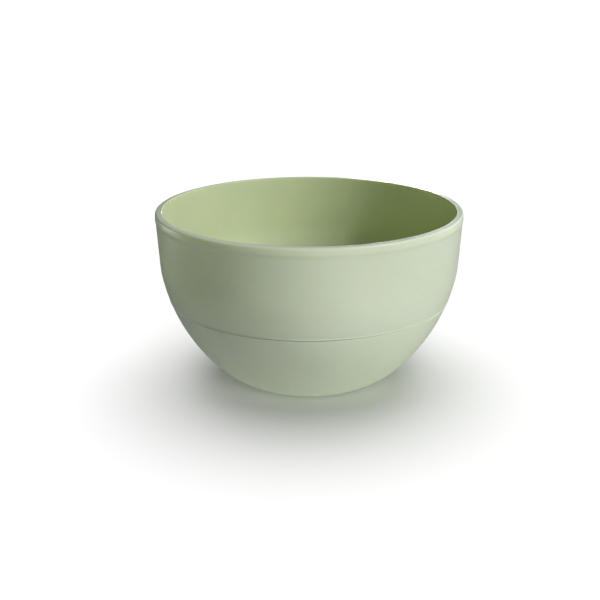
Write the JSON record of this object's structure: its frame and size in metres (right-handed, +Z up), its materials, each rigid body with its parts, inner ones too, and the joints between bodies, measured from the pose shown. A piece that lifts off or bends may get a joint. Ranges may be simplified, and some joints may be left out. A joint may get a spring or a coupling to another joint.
{
  "type": "mixing bowl",
  "caption": "Deep round mixing bowl: a smooth hard plastic shell with a crowned rim, and a soft non-slip base bonded over its lower half.",
  "frame": {"origin": "centre of the foot's underside, on the surface that the bowl stands on", "axes": "+Z up along the bowl's axis, towards its mouth; X and Y are equivalent, because the bowl is round"},
  "size_m": [0.2, 0.2, 0.1147],
  "materials": {
    "shell_plastic": "sage green, satin to semi-gloss moulded plastic",
    "base_rubber": "sage green, satin soft-touch rubber matched to the shell"
  },
  "bodies": {
    "root": {"bowl_shell": "shell_plastic", "non_slip_base": "base_rubber"}
  },
  "joints": []
}
